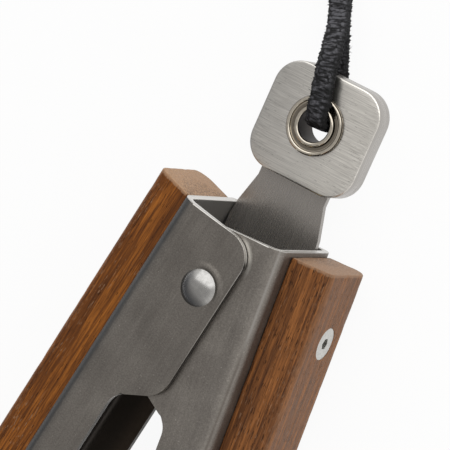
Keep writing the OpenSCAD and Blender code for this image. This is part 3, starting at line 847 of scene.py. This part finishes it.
def grip(side, finish):
    """A grip with worn, slightly uneven edges and its screw holes."""
    name = SIDE_NAMES[side]
    front = CHANNEL_DEPTH / 2 - GRIP_SET
    inner, outer = WEB_OUT, WEB_OUT + GRIP_T
    section = rounded_section(inner, outer, front - GRIP_W, front,
                              (GRIP_INNER_R, GRIP_BACK_R, GRIP_FRONT_R, GRIP_INNER_R))
    top = ARM_TOP - GRIP_GAP
    slope = END_SLOPE / GRIP_T if side == LEFT else 0.0
    rows = grip_rows(top)
    points, wear = [], []
    for y, inset, row_wear in rows:
        for x, z, dx, dz, corner in section:
            across, along = CHIP_SCALE
            chip = noise.noise(Vector((x * across, y * along, z * across + 7 * side)))
            chip = max(0.0, chip - CHIP_LEAST) * CHIP_DEPTH * max(row_wear, corner * CORNER_CHIPS)
            across, along = WAVE_SCALE
            wave = WAVE_DEPTH * noise.noise(Vector((x * across, y * along, z * across + side)))
            move = inset + chip + max(0.0, wave)
            rise = slope * (x - inner) * max(0.0, 1 - (top - y) / SLOPE_RUN)
            points.append((side * (x - dx * move), y + rise, z - dz * move))
            edge = INNER_EDGE_WEAR if x < inner + INNER_EDGE else 1.0
            wear.append(max(row_wear, corner * CORNER_WEAR) * edge)
    made = add_object(f"{name}_wood", points, tube_faces(len(rows), len(section)), arm_place(side))
    set_attribute(made, "wear", wear)
    cut_out(made, [screw_hole(side, i) for i in range(SCREW_COUNT)])
    made.data.materials.clear()
    made.data.materials.append(finish.material)
    smooth_by_angle(made, GRIP_CRISP)
    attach(made, name)
    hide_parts(f"{name}_grip")


grip(LEFT, wood(LEFT, rgb(172, 104, 38), rgb(116, 66, 23), rgb(72, 38, 13), rgb(170, 136, 106), 0.0))
grip(RIGHT, wood(RIGHT, rgb(160, 102, 54), rgb(112, 69, 36), rgb(70, 41, 23), rgb(152, 120, 94), 0.05))

# ---------- pull tab ----------

TAB_RINGS = 14
TAB_SOFT, TAB_SOFT_STEPS = 0.0005, 6           # the rounding of the tab's outer edge
TAB_HOLE_R = EYELET_HOLE / 2 + 0.0008          # round the eyelet's barrel
# painted shade on the tab's sides, and a painted highlight on the lock plate's edge between the scales
SIDE_PAINTED_LIGHT_AND_SHADE = rgb(172, 168, 163)
TAB_CRISP = math.radians(35)
CORNER_STEPS = 14


def lock_place(z=0.0):
    """Where the lock plate's own axes are: Y along its travel."""
    return Matrix.Translation((LOCK_SHIFT, 0, z)) @ Matrix.Rotation(LOCK_LEAN, 4, "Z")


def tab_outline():
    """Points round the tab, a rectangle with round corners, each with its outward direction."""
    made = []
    for sx, sy, start in ((1, 1, 0.0), (-1, 1, 0.5), (-1, -1, 1.0), (1, -1, 1.5)):
        for i in range(CORNER_STEPS + 1):
            a = math.pi * (start + i / CORNER_STEPS / 2)
            made.append((sx * (TAB_W / 2 - TAB_R) + TAB_R * math.cos(a),
                         sy * (TAB_H / 2 - TAB_R) + TAB_R * math.sin(a), math.cos(a), math.sin(a)))
    return made


def crown(x, y):
    """How far the tab's polished face falls away from its middle."""
    u, v = abs(x) / (TAB_W / 2), abs(y) / (TAB_H / 2)
    return 0.00012 * (u ** 2 + v ** 2) + 0.00016 * (u ** 6 + v ** 6)


def tab_scale(name, node, outer_up, finish):
    """A steel scale of the pull tab: a crowned face, a soft outer edge and the eyelet's hole."""
    low, high = (p.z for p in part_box(node))
    thick = high - low
    outline = tab_outline()
    hole = [(TAB_HOLE_R * math.cos(a), EYELET_UP + TAB_HOLE_R * math.sin(a))
            for a in (math.atan2(y - EYELET_UP, x) for x, y, _, _ in outline)]
    points = [(x, y, 0.0) for x, y, _, _ in outline]
    for a in quarter(TAB_SOFT_STEPS):
        inset, fall = TAB_SOFT * (1 - math.cos(a)), TAB_SOFT * (1 - math.sin(a))
        points += [(x - dx * inset, y - dy * inset, thick - fall - crown(x, y))
                   for x, y, dx, dy in outline]
    for i in range(1, TAB_RINGS + 1):
        share = i / TAB_RINGS
        for (x, y, dx, dy), (hx, hy) in zip(outline, hole):
            px = (x - dx * TAB_SOFT) * (1 - share) + hx * share
            py = (y - dy * TAB_SOFT) * (1 - share) + hy * share
            points.append((px, py, thick - crown(px, py)))
    points += [(hx, hy, 0.0) for hx, hy in hole]
    sides = len(outline)
    last = len(points) - sides
    faces = tube_faces(len(points) // sides, sides, closed_ends=False)
    faces += [(last + j, last + (j + 1) % sides, (j + 1) % sides, j) for j in range(sides)]
    if not outer_up:
        points = [(x, y, thick - h) for x, y, h in points]
    place = lock_place(low) @ Matrix.Translation((0, TAB_UP, 0))
    made = add_object(name, points, faces, place)
    smooth_by_angle(made, TAB_CRISP)
    made.data.materials.append(finish.material)
    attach(made, "lock")
    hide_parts(node)


def tab_steel():
    """The pull tab's face, brushed across, with painted shade darkening it towards one side and
    painted shade on its sides.
    """
    steel = brushed_steel("tab_steel", rgb(202, 199, 193), rgb(252, 249, 242), 0.30, 0.6, "X", 4.2)
    spot = steel.parts(steel.object_space())
    # painted shade: the face is darker towards its -X side
    face = steel.mix(steel.span(spot[0], -14, 8, 0.38, 0.0, smooth=False), steel.face(),
                     rgb(120, 120, 122))
    scratches = steel.streaks((0.8, 4.6, 4.6), detail=1, rough=0.5)
    face = steel.mix(steel.span(scratches, 0.68, 0.76, 0.0, 0.5), face, rgb(92, 88, 84))
    # painted shade on the tab's sides
    side = steel.below(steel.math("ABSOLUTE", steel.facing()[2]), 0.35, 0.75)
    steel.drive("Base Color", steel.mix(side, face, SIDE_PAINTED_LIGHT_AND_SHADE))
    return steel


tab_finish = tab_steel()
tab_scale("tab_face", "tab_upper_scale", True, tab_finish)
tab_scale("tab_back", "tab_lower_scale", False, tab_finish)

# ---------- finishes of the CAD nodes ----------

WELD_DISTANCE = 0.000002
FLAT_ANGLE = math.radians(0.6)       # faces that meet flatter than this are one face
BEVEL_ANGLE = math.radians(32)       # edges sharper than this are softened
PLATE_EDGE_START = (27.5, 28.5)      # up the lock plate, where it shows between the tab's scales

# Rings of the eyelet, as distances from its axis in mm
BARREL_WALL = (3.94, 4.02)
GROOVE = (4.95, 5.2, 5.7, 6.15)
LIP_CREASE = (4.95, 5.06, 5.1, 5.3)
RIM_CREASE = (6.98, 7.12)


def soften(thing, width):
    """Rounds a node's edges a little."""
    joined = thing.modifiers.new("joined", "WELD")
    joined.merge_threshold = WELD_DISTANCE
    flat = thing.modifiers.new("flat faces", "DECIMATE")
    flat.decimate_type = "DISSOLVE"
    flat.angle_limit = FLAT_ANGLE
    edge = thing.modifiers.new("soft edges", "BEVEL")
    edge.offset_type = "ABSOLUTE"
    edge.width = width
    edge.segments = 2
    edge.limit_method = "ANGLE"
    edge.angle_limit = BEVEL_ANGLE
    edge.harden_normals = True
    edge.use_clamp_overlap = False


def plate_steel():
    """The lock plate: brushed along its length, with a painted highlight on its edge between the tab's
    scales.
    """
    steel = brushed_steel("plate_steel", rgb(156, 152, 148), rgb(167, 162, 157), 0.26, 0.3, "Y", 4.0,
                          turn=-LOCK_LEAN, depth=0.0012)
    steel.shader.inputs["Metallic"].default_value = 0.82
    spot = steel.parts(steel.object_space(turn=-LOCK_LEAN))
    # painted highlight on the plate's edge between the tab's scales
    edge = steel.times(steel.below(steel.math("ABSOLUTE", steel.facing()[2]), 0.3, 0.6),
                       steel.above(spot[1], *PLATE_EDGE_START))
    steel.drive("Base Color", steel.mix(edge, steel.face(), SIDE_PAINTED_LIGHT_AND_SHADE))
    return steel


def eyelet_nickel():
    """Polished nickel: rougher and with painted shade inside the barrel, grime in the grooves of the
    turned rims, and painted shade with some grime in their creases.
    """
    metal = plain_metal("nickel", rgb(206, 198, 184), 0.10)
    middle = lock_place() @ Vector((0, TAB_UP + EYELET_UP, 0)) / MM
    away = metal.vector_math("SUBTRACT", metal.object_space(), tuple(middle))
    radius = metal.vector_math("LENGTH", metal.vector_math("MULTIPLY", away, (1, 1, 0)))
    face = metal.paint(metal.face(), rgb(88, 79, 67), metal.band(radius, *GROOVE), 0.75)
    # painted shade in the creases beside the lip and at the outer edge, with some grime from the noise
    crease_shade = metal.either(metal.band(radius, *LIP_CREASE), metal.above(radius, *RIM_CREASE))
    darkening = metal.times(metal.noise(metal.object_space(), scale=0.8, detail=4), 0.5)
    shade_and_dirt = metal.math("ADD", metal.times(crease_shade, 0.75), metal.times(crease_shade, darkening))
    face = metal.mix(shade_and_dirt, face, rgb(40, 34, 28))
    # painted shade inside the barrel, which is also rougher
    barrel = metal.below(radius, *BARREL_WALL)
    metal.drive("Base Color", metal.mix(barrel, face, rgb(66, 60, 56)))
    metal.drive("Roughness", metal.span(barrel, 0, 1, 0.12, 0.5))
    return metal


def rivet_steel():
    """The rivet's bright head, with painted shade on the side away from the tab."""
    metal = plain_metal("rivet_steel", rgb(176, 175, 173), 0.20)
    facing = metal.facing()
    towards = metal.math("ADD", metal.times(facing[0], 0.5), facing[1])
    # painted shade on the side away from the tab
    painted_shade_side = metal.below(towards, -0.35, 0.1)
    metal.drive("Base Color", metal.paint(metal.face(), rgb(112, 111, 110), painted_shade_side, 0.75))
    return metal


rivet_finish = rivet_steel()
screw_finish = plain_metal("screw_steel", rgb(205, 204, 200), 0.30)
nut_finish = plain_metal("nut_steel", rgb(165, 165, 162), 0.34)
spring_finish = plain_metal("spring_steel", rgb(96, 96, 98), 0.35)
brass_finish = plain_metal("bush_brass", rgb(206, 178, 116), 0.28)
nickel_finish = eyelet_nickel()

# each CAD node with its finish and the width of its softened edges
for name, finish, width in (
        ("left_arm", arm_steel(LEFT), 0.00045), ("right_arm", arm_steel(RIGHT), 0.00040),
        ("lock_plate", plate_steel(), 0.00004), ("pivot_rivet", rivet_finish, 0.0),
        ("left_grip_screws", screw_finish, 0.0001), ("right_grip_screws", screw_finish, 0.0001),
        ("left_grip_nuts", nut_finish, 0.00015), ("right_grip_nuts", nut_finish, 0.00015),
        ("pivot_bush", brass_finish, 0.0001), ("thrust_washers", nut_finish, 0.0001),
        ("eyelet", nickel_finish, 0.0), ("eyelet_washer", nickel_finish, 0.0)):
    for held in nodes[name].material_slots:
        held.link = "OBJECT"         # the finish goes on the object, and not on its mesh
        held.material = finish.material
    if width:
        soften(nodes[name], width)

# ---------- return spring ----------

WIRE_R, WIRE_SIDES = 0.0009, 14
WIRE_GAP = 0.0002        # between the coil's turns
COIL_R, COIL_TURNS = 0.0066, 4
COIL_STEP = math.radians(8)
SPRING_TOP = 0.0294      # height of the leg along the right arm
LEG_REACH = 0.038
LEG_OUT = 0.0130         # from the middle line of an arm to the leg's end


def return_spring():
    """A torsion spring, wound round the bush, with a leg along each arm."""
    tip = Vector((LEG_OUT * math.cos(OPEN_HALF) + LEG_REACH * math.sin(OPEN_HALF),
                  LEG_OUT * math.sin(OPEN_HALF) - LEG_REACH * math.cos(OPEN_HALF)))
    first = math.atan2(tip.y, tip.x) + math.acos(COIL_R / tip.length)
    sweep = math.tau * COIL_TURNS + math.pi - 2 * first
    low = SPRING_TOP - (2 * WIRE_R + WIRE_GAP) * sweep / math.tau
    steps = round(sweep / COIL_STEP)
    centre = [Vector((tip.x, tip.y, SPRING_TOP))]
    for i in range(steps + 1):
        turn = first + sweep * i / steps
        centre.append(Vector((COIL_R * math.cos(turn), COIL_R * math.sin(turn),
                              SPRING_TOP + (low - SPRING_TOP) * i / steps)))
    centre.append(Vector((-tip.x, tip.y, low)))
    points = []
    for i, c in enumerate(centre):
        along = heading(centre, i).normalized()
        level = Vector((along.y, -along.x, 0)).normalized()
        up = level.cross(along)
        points += [c + WIRE_R * (math.cos(a) * level + math.sin(a) * up) for a in circle(WIRE_SIDES)]
    made = add_object("spring", points, tube_faces(len(centre), WIRE_SIDES))
    made.data.materials.append(spring_finish.material)
    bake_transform(made)
    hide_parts("return_spring")


return_spring()

# ---------- floor and light ----------

FLOOR_HALF = 3.0
FLOOR_CORNERS = [(FLOOR_HALF * x, FLOOR_HALF * y, 0) for x, y in ((-1, -1), (1, -1), (1, 1), (-1, 1))]
BACKDROP_SHARE = 0.93    # the rest of what the camera sees of the floor is lit, with a shadow

LAMP_FROM, LAMP_DISTANCE = Vector((0.05, 0.82, 0.57)), 1.2
LAMP_SIZE, LAMP_POWER = (2.4, 1.4), 9.5

SKY_GREY, SKY_BRIGHT = (0.52, 0.51, 0.50, 1), (0.95, 0.935, 0.915, 1)
SKY_DARK, DARK_SIDE = (0.205, 0.21, 0.225, 1), (-0.8, -0.6, 0.0)


def floor_material():
    """A pale floor that the camera, and metal, see as a white backdrop with a faint shadow."""
    made = Finish("floor", Roughness=0.9, Specular_IOR_Level=0.0, Base_Color=(0.93, 0.93, 0.93, 1))
    path = made.add("LightPath").outputs
    seen = made.either(path["Is Camera Ray"], path["Is Glossy Ray"], path["Is Transmission Ray"])
    backdrop = made.add("Emission", {"Color": (1, 1, 1, 1), "Strength": 1.0})
    mixed = made.add("MixShader", {0: made.times(seen, BACKDROP_SHARE),
                                   1: made.shader.outputs[0], 2: backdrop.outputs[0]})
    made.tree.links.new(mixed.outputs[0], made.tree.nodes["Material Output"].inputs["Surface"])
    return made.material


def add_lamp():
    """A wide, soft studio lamp that faces the hinge."""
    data = bpy.data.lights.new("top", "AREA")
    data.shape = "RECTANGLE"
    data.size, data.size_y = LAMP_SIZE
    data.energy = LAMP_POWER
    lamp = bpy.data.objects.new("top", data)
    away = LAMP_FROM.normalized()
    lamp.location = away * LAMP_DISTANCE
    lamp.rotation_mode = "QUATERNION"
    lamp.rotation_quaternion = away.to_track_quat("Z", "Y")
    bpy.context.scene.collection.objects.link(lamp)


def studio_world():
    """A soft studio: white towards +Y and low down towards +X, grey overhead, and dark behind
    the left arm."""
    world = bpy.data.worlds.new("studio")
    world.use_nodes = True
    sky = Nodes(world.node_tree)
    way = sky.add("TexCoord").outputs["Generated"]
    x, y, z = sky.parts(way)
    right = sky.times(sky.above(x, 0.2, 0.9), sky.below(z, 0.3, 0.75))
    bright = sky.either(right, sky.above(y, 0.25, 0.5))
    behind = sky.vector_math("DOT_PRODUCT", way, DARK_SIDE)
    dark = sky.times(sky.above(behind, 0.2, 0.9), sky.below(z, 0.2, 0.8))
    colour = sky.mix(dark, sky.mix(bright, SKY_GREY, SKY_BRIGHT), SKY_DARK)
    sky.tree.links.new(colour, sky.tree.nodes["Background"].inputs["Color"])
    return world


floor = add_object("floor", FLOOR_CORNERS, [(0, 1, 2, 3)])
floor.data.materials.append(floor_material())
add_lamp()
bpy.context.scene.world = studio_world()
bpy.context.scene.view_settings.view_transform = "Standard"
